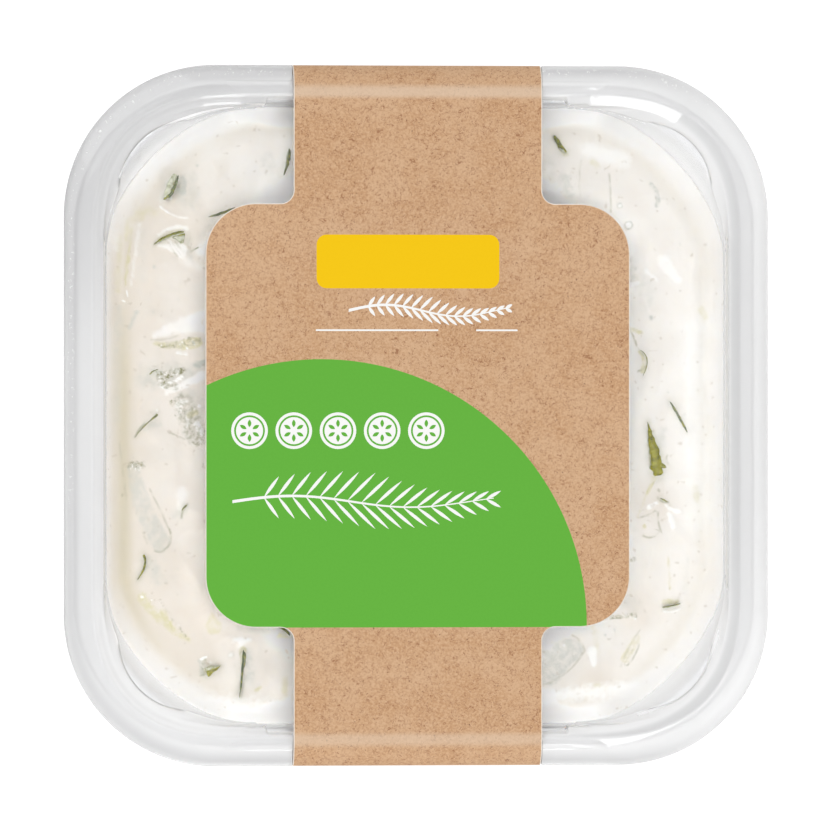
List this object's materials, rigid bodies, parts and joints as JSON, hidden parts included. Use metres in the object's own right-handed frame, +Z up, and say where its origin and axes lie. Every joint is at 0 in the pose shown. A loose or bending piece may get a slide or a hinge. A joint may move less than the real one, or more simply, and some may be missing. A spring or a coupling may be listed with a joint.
{
  "type": "tub of tzatziki dip",
  "caption": "Shut clear square tub of white cucumber and yoghurt dip, with a clear lid and a kraft card sleeve.",
  "frame": {"origin": "centre of the underside, on the surface that the pack stands on", "axes": "+Z up out of the lid; +Y towards the edge that is at the top when the label is seen upright; +X to the label's right"},
  "size_m": [0.112, 0.111, 0.0342],
  "materials": {
    "tub": "clear and glossy",
    "lid": "clear and glossy",
    "sleeve": "uncoated kraft card with a plain print",
    "dip": "moist and creamy, with cucumber"
  },
  "bodies": {
    "root": {"tub": "tub", "lid": "lid", "sleeve": "sleeve", "dip": "dip"}
  },
  "joints": []
}
